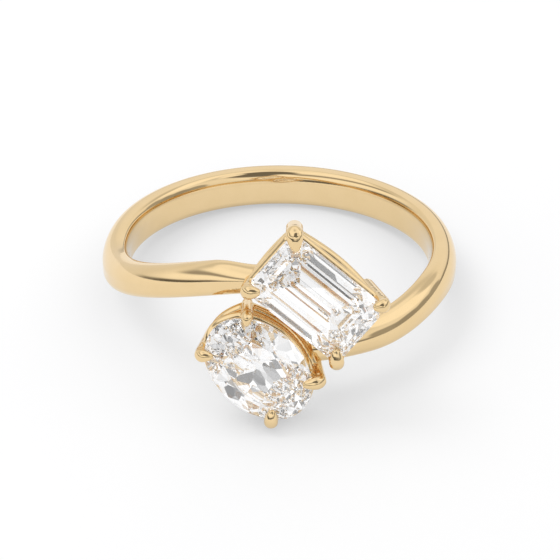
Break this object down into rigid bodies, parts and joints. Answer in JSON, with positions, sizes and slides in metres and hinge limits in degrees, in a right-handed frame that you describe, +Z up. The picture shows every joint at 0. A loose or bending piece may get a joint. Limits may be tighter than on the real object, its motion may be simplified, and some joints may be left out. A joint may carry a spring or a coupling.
{
  "type": "toi et moi ring",
  "caption": "Toi et moi ring in yellow gold: an emerald-cut and an oval diamond set side by side on a bypass shank, lying on its side.",
  "frame": {"origin": "middle of the ring's box at floor level, the ring lying on its side", "axes": "+Z up from the floor, -Y towards the two stones, +X to the right seen from the stones' side"},
  "size_m": [0.02, 0.0232, 0.0108],
  "materials": {
    "gold": "polished",
    "diamond": "polished"
  },
  "bodies": {
    "root": {"gold_ring": "gold", "emerald_cut_stone": "diamond", "oval_stone": "diamond"}
  },
  "joints": []
}
